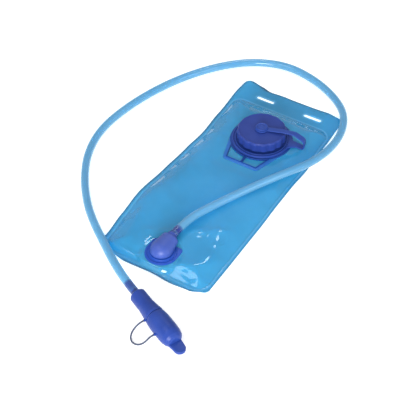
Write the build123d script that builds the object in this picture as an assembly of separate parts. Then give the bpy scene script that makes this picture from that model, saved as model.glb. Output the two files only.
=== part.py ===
from build123d import *
import math
import os

# A soft drinking-water bladder lying on its back film, with its drinking hose laid out on the
# surface round it.  X is across the bag, +Y points to the hang slots, +Z is up out of the front
# film, and the origin is the middle of the back film's outer face.  All sizes are millimetres.

# Bag of two welded films
BAG_WIDTH = 150.0
BAG_LENGTH = 350.0
BAG_CORNER = 8.0
FILM = 0.4
SIDE_WELD = 6.0
BOTTOM_WELD = 4.0
HANG_BAND = 36.0
BULGE = 8.0
CHAMBER_CORNER = 25.0
SHOULDER_SIDE = 16.0
SHOULDER_END = 1.6
SLOT_LENGTH = 25.0
SLOT_WIDTH = 4.6
SLOT_SPACING = 69.0
SLOT_INSET = 20.5

# Filler neck, its handle and the screw cap
NECK_X = 2.5
NECK_INSET = 97.0
NECK_BORE_R = 22.5
NECK_WALL = 3.5
NECK_EDGE = 0.6
FLANGE_WIDTH = 13.5
FLANGE_THICK = 1.4
THREAD_LEAD = 5.0
THREAD_TURNS = 1.4
THREAD_DEPTH = 1.6
THREAD_ROOT = 1.0
THREAD_CREST = 0.5
THREAD_SINK = 0.4
THREAD_START = 3.6
THREAD_GAP = 0.6
RING_GAP = 0.5
RING_WIDTH = 10.5
RING_THICK = 2.4
RING_BEAD = 1.6
RING_GROOVE = 1.6
RING_GROOVE_DEPTH = 0.7
CAP_WALL = 2.8
CAP_HEIGHT = 11.6
CAP_TOP = 2.5
CAP_LIFT = 2.2
CAP_EDGE = 1.4
SCALLOPS = 16
SCALLOP_R = 6.5
SCALLOP_DEPTH = 0.9
GASKET = 1.5
GASKET_GAP = 0.3
GASKET_LIP = 1.0
HANDLE_DEPTH = 15.5
HANDLE_HALF_BOTTOM = 24.0
HANDLE_HALF_TOP = 36.0
HANDLE_TOP = 12.0
HANDLE_BAR = 4.5
HANDLE_RIB = 3.0
HANDLE_THICK = 2.2
HANDLE_CORNER = 6.0

# Strap that keeps the cap
STRAP_ANGLE = 14.0
STRAP_WIDTH = 8.0
STRAP_THICK = 1.6
STRAP_STAND_OFF = 25.0
STRAP_RISE = 1.2
STRAP_RUN_IN = 4.0
STRAP_OVER_EYE = 1.0
STRAP_SHOULDER = 13.0
STRAP_DROP = 9.0
STRAP_BEND = 12.0
EAR = 8.5
EAR_ROOT = 2.0
LOOP_SIDE_BEND = 8.0
LOOP_LOW_BEND = 3.9
EYE_R = 8.6
STEM_R = 4.0
STEM_GAP = 0.4
BUTTON_R = 7.5
BUTTON_THICK = 1.6
BUTTON_EDGE = 0.6
PLAY = 0.3

# Outlet
OUTLET_X = 2.4
OUTLET_INSET = 25.5
OUTLET_R = 19.8
OUTLET_CHORD = 16.2
OUTLET_PLATE = 1.6
BOSS_R = 14.5
BOSS = 1.4
SOCKET_R = 6.0
DOME_R = 13.5
DOME_HEIGHT = 13.3
DOME_SKIRT = 1.7
ELBOW_AXIS = 7.0
ELBOW_R = 6.6
ELBOW_BODY = 17.0
ELBOW_COLLAR_R = 5.6
ELBOW_REACH = 23.0
ELBOW_ANGLE = -2.0
ELBOW_BARB_LENGTH = 12.0
ELBOW_BARB_COUNT = 1
ELBOW_STEM_GAP = 0.3
STEM_ROOT = 1.0
SNAP = 0.8
SNAP_HEIGHT = 1.4
O_RING = 0.8
O_RING_GAP = 0.1
GROOVE_ROOM = 0.1

# Hose and the barbs in its two ends
HOSE_BORE = 7.0
HOSE_WALL = 1.5
VALVE_BARB_LENGTH = 21.0
VALVE_BARB_COUNT = 2
BARB_START = 3.0
BARB_STEP = 6.0
BARB_CREST = 1.2
BARB_TAPER = 4.0
BARB_DROP = 0.5
BARB_TIP = 4.0
BARB_TIP_INSET = 0.1
BARB_END_DROP = 0.2
BARB_GAP = 0.2
BARB_BITE = 0.15
FLOW_R = 2.0

# Bite valve, along its own axis from the end of the hose
VALVE_ANGLE = -25.0
VALVE_HEIGHT = 13.0
GRIP_R = 9.4
GRIP_EDGE = 0.8
GRIP_WAIST_R = 9.5
GRIP_WAIST = 18.0
GRIP_LENGTH = 37.5
GRIP_SOCKET = 18.0
GRIP_SOCKET_R = 5.2
SPIGOT_R = 10.2
SPIGOT = 8.0
SEAM_STEP = 1.3
NOSE_R = 4.6
NOSE = 7.0
NIPPLE_INSET = 1.5
NIPPLE = 21.5
NIPPLE_FOOT = 3.0
NIPPLE_SLOPE = 2.0
NIPPLE_WAIST = 1.4
NIPPLE_CHIN = 6.0
NIPPLE_TIP_INSET = 4.0
NIPPLE_WALL = 2.4
SLIT = 0.4
COVER_GAP = 0.3
COVER_MOUTH_WALL = 1.2
COVER_SWELL = 0.9
COVER_FLARE = 6.0
COVER_TAPER = 11.5
COVER_SHOULDER = 5.0
COVER_SHOULDER_R = 11.2
COVER_TIP = 2.2
COVER_TIP_R = 9.2
COVER_NOSE = 11.2
COVER_WALL = 1.9
TAB_WIDTH = 12.0
TAB_THICK = 4.5
TAB_REACH = 15.0
TAB_OFFSET = 1.0
LUG_R = 1.5
LUG = 3.0
LUG_ROOT = 1.0
GRIP_LUG = 35.5
COVER_LUG = 58.0
TETHER_D = 2.0

# Heights and places that follow from the sizes above
CHAMBER_WIDTH = BAG_WIDTH - 2 * SIDE_WELD
CHAMBER_LENGTH = BAG_LENGTH - HANG_BAND - BOTTOM_WELD
CHAMBER_Y = (BOTTOM_WELD - HANG_BAND) / 2
NECK_Y = BAG_LENGTH / 2 - NECK_INSET
NECK_R = NECK_BORE_R + NECK_WALL
FLANGE_R = NECK_R + FLANGE_WIDTH
HANDLE_REACH = FLANGE_R + HANDLE_DEPTH
RING_BORE_R = NECK_R + RING_GAP
RING_R = RING_BORE_R + RING_WIDTH
RING_BASE = BULGE + FLANGE_THICK
RING_TOP = RING_BASE + RING_THICK
EAR_REACH = RING_R + EAR
CAP_BORE_R = NECK_R + THREAD_DEPTH + THREAD_GAP
CAP_R = CAP_BORE_R + CAP_WALL
STRAP_REACH = CAP_R + STRAP_STAND_OFF
CAP_BASE = RING_TOP + CAP_LIFT
CAP_CROWN = CAP_BASE + CAP_HEIGHT
CAP_ROOF = CAP_CROWN - CAP_TOP
THREAD_LOW = RING_TOP + THREAD_START - THREAD_ROOT
NECK_TOP = CAP_ROOF - GASKET - GASKET_GAP
SLOT_Y = BAG_LENGTH / 2 - SLOT_INSET
OUTLET_Y = -BAG_LENGTH / 2 + OUTLET_INSET
PLATE_TOP = BULGE + OUTLET_PLATE
BOSS_TOP = PLATE_TOP + BOSS
DOME_BASE = BOSS_TOP + PLAY
ELBOW_Z = BOSS_TOP + ELBOW_AXIS
STEM_LOW = BULGE - FILM - PLAY - SNAP_HEIGHT
ELBOW_STEM_R = SOCKET_R - ELBOW_STEM_GAP
HOSE_BORE_R = HOSE_BORE / 2
HOSE_D = HOSE_BORE + 2 * HOSE_WALL
GRIP_SEAM_R = SPIGOT_R + SEAM_STEP
NIPPLE_R = SPIGOT_R - NIPPLE_INSET
COVER_BORE_R = SPIGOT_R + COVER_GAP
COVER_MOUTH_R = COVER_BORE_R + COVER_MOUTH_WALL
COVER_R = COVER_MOUTH_R + COVER_SWELL
COVER = SPIGOT + NIPPLE + COVER_NOSE

# The hose's route: out of the outlet, across the front film and over its right edge, a wide loop
# on the surface beyond the hang slots, back down the left side, over the bottom left corner of the
# bag and up into the valve.
HOSE_ROUTE = [
    (3.2, -126.51, 18.0), (4.25, -96.53, 18.0), (14.0, -67.0, 16.0), (27.0, -35.0, 14.8),
    (43.0, -1.0, 14.8), (60.0, 31.0, 15.2), (77.0, 64.5, 13.2), (84.5, 102.0, 9.2),
    (84.0, 138.5, 9.0), (70.0, 174.5, 9.0), (39.5, 202.5, 6.2), (-1.0, 221.5, 5.2),
    (-45.0, 227.5, 5.2), (-87.0, 211.0, 5.2), (-120.0, 180.0, 5.2), (-147.0, 138.0, 5.2),
    (-166.0, 92.0, 5.2), (-178.0, 43.0, 5.2), (-182.0, -7.0, 5.2), (-171.0, -52.0, 5.2),
    (-148.0, -92.0, 5.2), (-118.0, -127.5, 6.0), (-90.0, -152.0, 8.8), (-62.5, -171.5, 9.0),
    (-37.0, -190.0, 10.2), (-8.2, -208.2, 13.0), (16.3, -219.6, 13.0),
]
# The cover's tether: a thin loop from the lug on the grip down to the surface and back up to the
# lug on the cover.
TETHER_ROUTE = [
    (42.85, -246.65, 13.0), (41.16, -250.28, 13.0), (38.6, -256.0, 10.0), (37.2, -262.2, 5.6),
    (39.4, -267.8, 2.6), (44.3, -270.6, 1.4), (50.3, -270.0, 1.5), (55.2, -267.2, 4.0),
    (58.8, -264.4, 9.2), (61.0, -260.99, 13.0), (62.69, -257.35, 13.0),
]
RUN_SHARE = 0.45
VALVE_START = HOSE_ROUTE[-1]


def turned(profile):
    """A solid of revolution about Z from (radius, height) points."""
    return revolve(Plane.XZ * make_face(Polyline(*profile, close=True)), Axis.Z)


def washer(outer, inner, low, high):
    """A flat ring about Z between two heights."""
    return turned([(inner, low), (outer, low), (outer, high), (inner, high)])


def o_ring(radius, section, height):
    """A round-section ring about Z."""
    return Pos(0, 0, height) * Torus(radius, section)


def slots(low, high):
    """Cutters for the two hang slots."""
    cutter = SlotOverall(SLOT_LENGTH, SLOT_WIDTH)
    places = [Pos(side * SLOT_SPACING / 2, SLOT_Y, low) for side in (-1, 1)]
    return [place * extrude(cutter, high - low) for place in places]


def pillow(inset, low, high):
    """The chamber's form: a rounded oblong that narrows from its weld line up to a flat top."""
    width = CHAMBER_WIDTH - 2 * inset
    length = CHAMBER_LENGTH - 2 * inset
    base = RectangleRounded(width, length, CHAMBER_CORNER - inset)
    top = RectangleRounded(width - 2 * SHOULDER_SIDE, length - 2 * SHOULDER_END, CHAMBER_CORNER - inset)
    faces = [Pos(0, CHAMBER_Y, low) * base, Pos(0, CHAMBER_Y, high) * top]
    return loft([item.face() for item in faces], ruled=True)


def back_film():
    sheet = extrude(RectangleRounded(BAG_WIDTH, BAG_LENGTH, BAG_CORNER), FILM)
    return sheet - slots(0, FILM)


def front_film():
    sheet = Pos(0, 0, FILM) * extrude(RectangleRounded(BAG_WIDTH, BAG_LENGTH, BAG_CORNER), FILM)
    shell = sheet + pillow(0, FILM, BULGE)
    shell -= pillow(FILM, FILM, BULGE - FILM)
    shell -= Pos(NECK_X, NECK_Y, BULGE) * Cylinder(NECK_BORE_R, BULGE / 2)
    shell -= Pos(OUTLET_X, OUTLET_Y, BULGE) * Cylinder(SOCKET_R + SNAP + PLAY, BULGE / 2)
    return shell - slots(FILM, 2 * FILM)


def helix_ridge(root, crest, start):
    """One thread ridge, a trapezoid swept up a right-handed helix from root to crest radius."""
    path = Helix(THREAD_LEAD, THREAD_LEAD * THREAD_TURNS, root, center=(0, 0, start))
    section = make_face(Polyline(
        (0, -THREAD_ROOT), (crest - root, -THREAD_CREST),
        (crest - root, THREAD_CREST), (0, THREAD_ROOT), close=True))
    plane = Plane(origin=path @ 0, x_dir=(1, 0, 0), z_dir=path % 0)
    return sweep(plane * section, path=path, is_frenet=True)


def fill_neck():
    """The weld flange and the threaded spigot, which is open right through."""
    body = turned([
        (NECK_BORE_R, BULGE), (FLANGE_R, BULGE), (FLANGE_R, RING_BASE), (NECK_R, RING_BASE),
        (NECK_R, NECK_TOP - NECK_EDGE), (NECK_R - NECK_EDGE, NECK_TOP), (NECK_BORE_R, NECK_TOP)])
    ridge = helix_ridge(NECK_R - THREAD_SINK, NECK_R + THREAD_DEPTH, THREAD_LOW)
    return body + (ridge & washer(NECK_R + 2 * THREAD_DEPTH, NECK_BORE_R, RING_TOP, NECK_TOP))


def screw_cap():
    """The scalloped cap; its inner ridge runs half a lead away from the neck's."""
    shell = turned([
        (0, CAP_ROOF), (CAP_BORE_R, CAP_ROOF), (CAP_BORE_R, CAP_BASE), (CAP_R, CAP_BASE),
        (CAP_R, CAP_CROWN - CAP_EDGE), (CAP_R - CAP_EDGE, CAP_CROWN), (0, CAP_CROWN)])
    centre = CAP_R + SCALLOP_R - SCALLOP_DEPTH
    middle = (CAP_BASE + CAP_CROWN) / 2
    cutters = [
        Rot(0, 0, 360 * i / SCALLOPS) * Pos(centre, 0, middle) * Cylinder(SCALLOP_R, 2 * CAP_HEIGHT)
        for i in range(SCALLOPS)]
    crest = CAP_BORE_R - THREAD_DEPTH
    ridge = helix_ridge(CAP_BORE_R + THREAD_SINK, crest, THREAD_LOW - THREAD_LEAD / 2)
    kept = ridge & washer(CAP_BORE_R + THREAD_SINK, crest - PLAY, CAP_BASE, CAP_ROOF - GASKET)
    hole = Pos(0, 0, CAP_CROWN) * Cylinder(STEM_R / 2, 4 * CAP_TOP)
    return shell - cutters + kept - hole


def cap_gasket():
    return washer(CAP_BORE_R - O_RING_GAP, NECK_BORE_R - GASKET_LIP, CAP_ROOF - GASKET, CAP_ROOF)


def cap_button():
    """The rivet that holds the strap's eye on the cap."""
    eye_top = CAP_CROWN + PLAY + STRAP_THICK
    head = eye_top + PLAY
    return turned([
        (0, CAP_ROOF), (STEM_R / 2, CAP_ROOF), (STEM_R / 2, CAP_CROWN), (STEM_R, CAP_CROWN), (STEM_R, head),
        (BUTTON_R, head), (BUTTON_R, head + BUTTON_THICK - BUTTON_EDGE),
        (BUTTON_R - BUTTON_EDGE, head + BUTTON_THICK), (0, head + BUTTON_THICK)])


def strap_line():
    """The strap's middle line in the plane of its reach and height, from the eye to the ear."""
    top = CAP_CROWN + PLAY + STRAP_THICK / 2
    low = RING_BASE + RING_THICK / 2
    reach = STRAP_REACH - STRAP_THICK / 2
    corners = [
        (EYE_R - STRAP_OVER_EYE, 0, top), (CAP_R - STRAP_RUN_IN, 0, top + STRAP_RISE),
        (reach - STRAP_SHOULDER, 0, top + STRAP_RISE), (reach, 0, top + STRAP_RISE - STRAP_DROP),
        (reach, 0, low), (EAR_REACH, 0, low)]
    return FilletPolyline(*corners, radius=[STRAP_BEND, STRAP_BEND, LOOP_SIDE_BEND, LOOP_LOW_BEND])


def tether_strap():
    """The strap from the eye over the cap's edge and down in a loop to the ring's ear."""
    path = strap_line()
    section = Plane(origin=path @ 0, x_dir=(0, 1, 0), z_dir=path % 0) * Rectangle(STRAP_WIDTH, STRAP_THICK)
    strap = sweep(section, path=path)
    top = CAP_CROWN + PLAY
    return strap - Pos(0, 0, top) * Cylinder(EYE_R + PLAY, 4 * STRAP_THICK)


def strap_eye():
    base = CAP_CROWN + PLAY
    return washer(EYE_R, STEM_R + STEM_GAP, base, base + STRAP_THICK)


def tether_ring():
    """The ring that sits round the neck under the cap, with the ear that the strap joins."""
    ring = washer(RING_R, RING_BORE_R, RING_BASE, RING_TOP)
    groove_r = RING_R - RING_BEAD
    groove = washer(groove_r, groove_r - RING_GROOVE, RING_TOP - RING_GROOVE_DEPTH, RING_TOP)
    span = EAR + EAR_ROOT
    middle = (RING_BASE + RING_TOP) / 2
    ear = Pos(EAR_REACH - span / 2, 0, middle) * Box(span, STRAP_WIDTH, STRAP_THICK)
    return ring - groove + ear


def fill_handle():
    """A trapezoid finger frame off the neck's flange, with a middle rib."""
    slope = (HANDLE_HALF_TOP - HANDLE_HALF_BOTTOM) / (HANDLE_REACH - HANDLE_TOP)

    def outline(inset):
        side = inset * math.hypot(1, slope)
        half_low = HANDLE_HALF_BOTTOM + inset * slope - side
        half_top = HANDLE_HALF_TOP - side
        low = inset - HANDLE_REACH
        return make_face(Polyline(
            (-half_top, -HANDLE_TOP), (-half_low, low), (half_low, low), (half_top, -HANDLE_TOP), close=True))

    plate = extrude(outline(0), HANDLE_THICK)
    corners = plate.edges().filter_by(Axis.Z).sort_by(Axis.Y)[:2]
    plate = fillet(corners, HANDLE_CORNER)
    window = extrude(outline(HANDLE_BAR), 3 * HANDLE_THICK)
    rib = Pos(0, -HANDLE_REACH / 2, HANDLE_THICK / 2) * Box(HANDLE_RIB, HANDLE_REACH, HANDLE_THICK)
    round_flange = Cylinder(FLANGE_R, 6 * HANDLE_THICK)
    frame = plate - Pos(0, 0, -HANDLE_THICK) * window + (rib & plate) - round_flange
    return Pos(0, 0, BULGE) * frame


def outlet_flange():
    """The D-shaped weld plate with a round boss that carries the elbow."""
    disc = Cylinder(OUTLET_R, OUTLET_PLATE) + Pos(0, OUTLET_CHORD / 2, 0) * Box(
        2 * OUTLET_R, OUTLET_CHORD, OUTLET_PLATE)
    keep = Pos(0, OUTLET_CHORD - OUTLET_R, 0) * Box(4 * OUTLET_R, 2 * OUTLET_R, 4 * OUTLET_PLATE)
    plate = Pos(0, 0, BULGE + OUTLET_PLATE / 2) * (disc & keep)
    body = plate + washer(BOSS_R, SOCKET_R, PLATE_TOP, BOSS_TOP)
    body -= Pos(0, 0, BULGE) * Cylinder(SOCKET_R, 4 * BULGE)
    middle = (BULGE + BOSS_TOP) / 2
    seat = ELBOW_STEM_R + O_RING_GAP + 2 * O_RING + GROOVE_ROOM
    half = O_RING + GROOVE_ROOM
    return body - washer(seat, ELBOW_STEM_R, middle - half, middle + half)


def outlet_o_ring():
    return o_ring(ELBOW_STEM_R + O_RING_GAP + O_RING, O_RING, (BULGE + BOSS_TOP) / 2)


def barb(crest, length, count):
    """A barbed tail along +Z from the origin: a rod with forward-tapering rings and a tapered tip."""
    root = crest - BARB_DROP
    points = [(0, 0), (root, 0)]
    for index in range(count):
        ring = BARB_START + index * BARB_STEP
        slope = ring + BARB_CREST
        points += [(root, ring), (crest, ring), (crest, slope), (root, slope + BARB_TAPER)]
    tip = length - BARB_TIP
    points += [(root, tip), (crest - BARB_TIP_INSET, tip)]
    points += [(root - BARB_END_DROP, length), (0, length)]
    return turned(points)


def outlet_elbow():
    """The dome that turns the flow from the socket into the hose, with its stem, collar and barb."""
    crown = DOME_BASE + DOME_HEIGHT
    lip = DOME_BASE + DOME_SKIRT
    rise = crown - lip
    middle = (DOME_R * math.sin(math.pi / 4), lip + rise * math.sin(math.pi / 4))
    outline = Line((0, DOME_BASE), (DOME_R, DOME_BASE)) + Line((DOME_R, DOME_BASE), (DOME_R, lip))
    outline += ThreePointArc((DOME_R, lip), middle, (0, crown)) + Line((0, crown), (0, DOME_BASE))
    dome = revolve(Plane.XZ * make_face(outline), Axis.Z)
    along = Pos(0, 0, ELBOW_Z) * Rot(-90, 0, 0)
    shoulder = along * Pos(0, 0, ELBOW_BODY / 2) * Cylinder(ELBOW_R, ELBOW_BODY)
    collar = along * Pos(0, 0, ELBOW_REACH / 2) * Cylinder(ELBOW_COLLAR_R, ELBOW_REACH)
    stem = washer(ELBOW_STEM_R, HOSE_BORE_R, STEM_LOW, DOME_BASE + STEM_ROOT)
    snap = washer(SOCKET_R + SNAP, HOSE_BORE_R, STEM_LOW, STEM_LOW + SNAP_HEIGHT)
    tail = along * Pos(0, 0, ELBOW_REACH) * barb(
        HOSE_BORE_R - BARB_GAP, ELBOW_BARB_LENGTH, ELBOW_BARB_COUNT)
    well = Pos(0, 0, (STEM_LOW + ELBOW_Z) / 2) * Cylinder(HOSE_BORE_R, ELBOW_Z - STEM_LOW)
    reach = ELBOW_REACH + ELBOW_BARB_LENGTH
    passage = along * Pos(0, 0, reach / 2) * Cylinder(FLOW_R, reach)
    return dome + shoulder + collar + stem + snap + tail - well - passage


def bend_radii(route):
    """The largest arc at each corner that leaves both of its runs room for their other arc."""
    radii = []
    for before, corner, after in zip(route, route[1:], route[2:]):
        first = Vector(*corner) - Vector(*before)
        second = Vector(*after) - Vector(*corner)
        half_turn = math.radians(first.get_angle(second)) / 2
        radii.append(RUN_SHARE * min(first.length, second.length) / math.tan(half_turn))
    return radii


def route_path(route):
    return FilletPolyline(*route, radius=bend_radii(route))


def round_along(path, diameter):
    section = Plane(origin=path @ 0, z_dir=path % 0) * Circle(diameter / 2)
    return sweep(section, path=path)


def hose():
    path = route_path(HOSE_ROUTE)
    return round_along(path, HOSE_D) - round_along(path, HOSE_BORE)


def along_valve(body):
    """Lays a piece modelled along Z on the valve's axis."""
    return Pos(*VALVE_START) * Rot(0, 0, VALVE_ANGLE) * Rot(0, 90, 0) * body


def valve_barb():
    """The connector: a barb in the hose and a plain tail in the grip."""
    tail = Rot(180, 0, 0) * barb(HOSE_BORE_R + BARB_BITE, VALVE_BARB_LENGTH, VALVE_BARB_COUNT)
    plug = turned([(0, 0), (GRIP_SOCKET_R, 0), (GRIP_SOCKET_R, GRIP_SOCKET), (0, GRIP_SOCKET)])
    middle = (GRIP_SOCKET - VALVE_BARB_LENGTH) / 2
    flow = Pos(0, 0, middle) * Cylinder(FLOW_R, GRIP_SOCKET + VALVE_BARB_LENGTH)
    return along_valve(tail + plug - flow)


def valve_lug(distance, radius):
    """A small round lug that stands off the valve's side where a tether end is moulded in."""
    lug = Pos(radius + LUG / 2 - LUG_ROOT, 0, distance) * Rot(0, 90, 0) * Cylinder(LUG_R, LUG)
    return Rot(0, 0, -90) * lug


def grip_radius(distance):
    share = (distance - GRIP_WAIST) / (GRIP_LENGTH - GRIP_WAIST)
    return GRIP_WAIST_R + share * (GRIP_SEAM_R - GRIP_WAIST_R)


def valve_grip():
    """The hard body held between the fingers, with the spigot that the dust cover sits on."""
    spigot_end = GRIP_LENGTH + SPIGOT
    body = turned([
        (0, 0), (GRIP_R - GRIP_EDGE, 0), (GRIP_R, GRIP_EDGE), (GRIP_WAIST_R, GRIP_WAIST),
        (GRIP_SEAM_R, GRIP_LENGTH),
        (SPIGOT_R, GRIP_LENGTH), (SPIGOT_R, spigot_end), (NOSE_R, spigot_end),
        (NOSE_R, spigot_end + NOSE), (0, spigot_end + NOSE)])
    body += valve_lug(GRIP_LUG, grip_radius(GRIP_LUG))
    body -= Pos(0, 0, GRIP_SOCKET / 2) * Cylinder(GRIP_SOCKET_R, GRIP_SOCKET)
    body -= Pos(0, 0, GRIP_LENGTH) * Cylinder(FLOW_R, 3 * GRIP_LENGTH)
    middle = GRIP_LENGTH + SPIGOT / 2
    groove = SPIGOT_R + O_RING_GAP - 2 * O_RING - GROOVE_ROOM
    half = O_RING + GROOVE_ROOM
    body -= washer(GRIP_SEAM_R, groove, middle - half, middle + half)
    return along_valve(body)


def valve_o_ring():
    radius = SPIGOT_R + O_RING_GAP - O_RING
    return along_valve(o_ring(radius, O_RING, GRIP_LENGTH + SPIGOT / 2))


def bite_nipple():
    """The soft mouthpiece, a blind cap with a cross slit over the grip's nose."""
    low = GRIP_LENGTH + SPIGOT
    high = low + NIPPLE
    waist = NIPPLE_R - NIPPLE_WAIST
    body = turned([
        (NOSE_R, low), (NIPPLE_R, low), (NIPPLE_R, low + NIPPLE_FOOT),
        (waist, low + NIPPLE_FOOT + NIPPLE_SLOPE), (waist, high - NIPPLE_CHIN),
        (NIPPLE_R - NIPPLE_TIP_INSET, high), (0, high), (0, high - NIPPLE_WALL),
        (NOSE_R, high - NIPPLE_CHIN)])
    slit = Pos(0, 0, high) * Box(SLIT, NIPPLE_R, 2 * NIPPLE_WALL)
    return along_valve(body - slit)


def dust_cover():
    """The blind bullet-shaped cover with its pull tab."""
    low = GRIP_LENGTH + PLAY
    high = low + COVER
    body = turned([
        (COVER_BORE_R, low), (COVER_MOUTH_R, low), (COVER_R, low + COVER_FLARE),
        (COVER_R, high - COVER_TAPER), (COVER_SHOULDER_R, high - COVER_SHOULDER),
        (COVER_TIP_R, high - COVER_TIP), (COVER_TIP_R - COVER_TIP, high), (0, high),
        (0, high - 2 * COVER_WALL),
        (COVER_TIP_R - COVER_WALL, high - 3 * COVER_WALL), (COVER_BORE_R, high - COVER_TAPER + COVER_TIP)])
    tab = extrude(SlotOverall(2 * TAB_REACH + TAB_WIDTH / 2, TAB_WIDTH), TAB_THICK)
    tab = Pos(TAB_THICK / 2 + TAB_OFFSET, 0, high) * Rot(0, -90, 0) * tab
    tab &= Pos(0, 0, high + TAB_REACH) * Box(4 * TAB_WIDTH, 4 * TAB_WIDTH, 2 * TAB_REACH + 2 * COVER_WALL)
    return along_valve(body + tab + valve_lug(COVER_LUG, COVER_R))


def cover_tether():
    return round_along(route_path(TETHER_ROUTE), TETHER_D)


def at_neck(body):
    return Pos(NECK_X, NECK_Y, 0) * body


def at_strap(body):
    return at_neck(Rot(0, 0, STRAP_ANGLE) * body)


def at_outlet(body):
    return Pos(OUTLET_X, OUTLET_Y, 0) * body


PIECES = {
    "back_film": back_film(),
    "front_film": front_film(),
    "fill_neck": at_neck(fill_neck()),
    "fill_handle": at_neck(fill_handle()),
    "tether_ring": at_strap(tether_ring()),
    "tether_strap": at_strap(tether_strap()),
    "strap_eye": at_strap(strap_eye()),
    "cap_button": at_neck(cap_button()),
    "screw_cap": at_neck(screw_cap()),
    "cap_gasket": at_neck(cap_gasket()),
    "outlet_flange": at_outlet(outlet_flange()),
    "outlet_elbow": at_outlet(Rot(0, 0, ELBOW_ANGLE) * outlet_elbow()),
    "outlet_o_ring": at_outlet(outlet_o_ring()),
    "hose": hose(),
    "valve_barb": valve_barb(),
    "valve_grip": valve_grip(),
    "valve_o_ring": valve_o_ring(),
    "bite_nipple": bite_nipple(),
    "dust_cover": dust_cover(),
    "cover_tether": cover_tether(),
}

os.makedirs("parts", exist_ok=True)
for name, piece in PIECES.items():
    export_step(piece, f"parts/{name}.step")

for name, route, bore in (("hose", HOSE_ROUTE, HOSE_BORE), ("cover_tether", TETHER_ROUTE, 0.0)):
    outside = HOSE_D if name == "hose" else TETHER_D
    path = route_path(route)
    section = math.pi / 4 * (outside ** 2 - bore ** 2)
    print(name, "length", round(path.length, 1), "volume over section x length",
          round(PIECES[name].volume / (section * path.length), 4))
    print(name, "radii", [round(radius, 1) for radius in bend_radii(route)])
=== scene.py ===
import math

import bmesh
import bpy
import numpy as np
from mathutils import Matrix, Vector


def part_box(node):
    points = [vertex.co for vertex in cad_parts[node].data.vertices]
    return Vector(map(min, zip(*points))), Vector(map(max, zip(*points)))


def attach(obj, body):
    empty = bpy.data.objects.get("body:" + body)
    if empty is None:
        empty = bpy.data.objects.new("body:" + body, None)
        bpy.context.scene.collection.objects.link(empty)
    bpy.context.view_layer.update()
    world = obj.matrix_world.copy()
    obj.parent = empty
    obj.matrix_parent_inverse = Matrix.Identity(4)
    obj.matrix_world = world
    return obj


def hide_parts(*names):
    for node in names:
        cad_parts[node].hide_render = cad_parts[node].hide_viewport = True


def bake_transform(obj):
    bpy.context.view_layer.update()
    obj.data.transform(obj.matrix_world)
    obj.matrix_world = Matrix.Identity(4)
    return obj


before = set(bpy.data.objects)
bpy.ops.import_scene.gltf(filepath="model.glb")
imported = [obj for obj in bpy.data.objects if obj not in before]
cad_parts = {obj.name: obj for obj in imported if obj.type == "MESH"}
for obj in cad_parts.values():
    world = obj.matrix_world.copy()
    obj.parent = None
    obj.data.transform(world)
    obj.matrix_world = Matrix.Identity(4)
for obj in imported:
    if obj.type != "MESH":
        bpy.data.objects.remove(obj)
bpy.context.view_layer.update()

# Everything below is in millimetres until a mesh or curve is made, which turns it into metres.
MM = 0.001


# ---------------------------------------------------------------- places taken from the frame

def low_corner(node):
    return np.array(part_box(node)[0]) / MM


def high_corner(node):
    return np.array(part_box(node)[1]) / MM


def middle(node):
    return (low_corner(node) + high_corner(node)) / 2


BAG_HALF_WIDTH = high_corner("back_film")[0]
BAG_HALF_LENGTH = high_corner("back_film")[1]
FILM_TOP = high_corner("front_film")[2]
NECK_X, NECK_Y = middle("fill_neck")[:2]
NECK_TOP = high_corner("fill_neck")[2]
FLANGE_R = (high_corner("fill_neck") - low_corner("fill_neck"))[0] / 2
CAP_LOW = low_corner("screw_cap")[2]
CAP_HIGH = high_corner("screw_cap")[2]
RING_LOW = low_corner("tether_ring")[2]
RING_HIGH = high_corner("tether_ring")[2]
EYE_LOW = low_corner("strap_eye")[2]
EYE_HIGH = high_corner("strap_eye")[2]
BUTTON_HIGH = high_corner("cap_button")[2]
OUTLET_X = middle("outlet_flange")[0]
OUTLET_BOSS = high_corner("outlet_flange")[2]
OUTLET_Y = low_corner("outlet_flange")[1] + middle("outlet_flange")[0] - low_corner("outlet_flange")[0]
DOME_HIGH = high_corner("outlet_elbow")[2]
HANDLE_REACH = NECK_Y - low_corner("fill_handle")[1]

# ---------------------------------------------------------------- camera, lights and floor

CAMERA_AZIMUTH = math.radians(31.6)
CAMERA_ELEVATION = math.radians(45.0)
CAMERA_DISTANCE = 1.423
CAMERA_TARGET = Vector((0.0061, -0.0541, 0.0))
CAMERA_LENS = 103.4
WORLD_STRENGTH = 0.76
WORLD_LOW, WORLD_HIGH = (1.0, 1.0, 1.0), (0.74, 0.76, 0.79)
# Azimuth and elevation (degrees), distance and width (m), power (W)
LAMPS = {
    "key": (22, 19, 1.7, 0.7, 30.0),
    "fill": (85, 25, 1.8, 0.8, 4.0),
    "top": (-35, 62, 1.6, 0.60, 4.0),
    "back": (203, 60, 1.6, 0.30, 2.0),
}
FLOOR_HALF = 3.0
FLOOR_DROP = 0.0002
FLOOR_GLOW = 0.34


def direction(azimuth, elevation):
    """A unit vector that points back to a camera or lamp at that azimuth and elevation, in radians."""
    return Vector((
        math.sin(azimuth) * math.cos(elevation), -math.cos(azimuth) * math.cos(elevation), math.sin(elevation)))


def place_camera():
    data = bpy.data.cameras.new("camera")
    data.lens = CAMERA_LENS
    data.clip_end = 20.0
    camera = bpy.data.objects.new("camera", data)
    bpy.context.scene.collection.objects.link(camera)
    back = direction(CAMERA_AZIMUTH, CAMERA_ELEVATION)
    camera.location = CAMERA_TARGET + back * CAMERA_DISTANCE
    camera.rotation_euler = back.to_track_quat("Z", "Y").to_euler()
    bpy.context.scene.camera = camera


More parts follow.
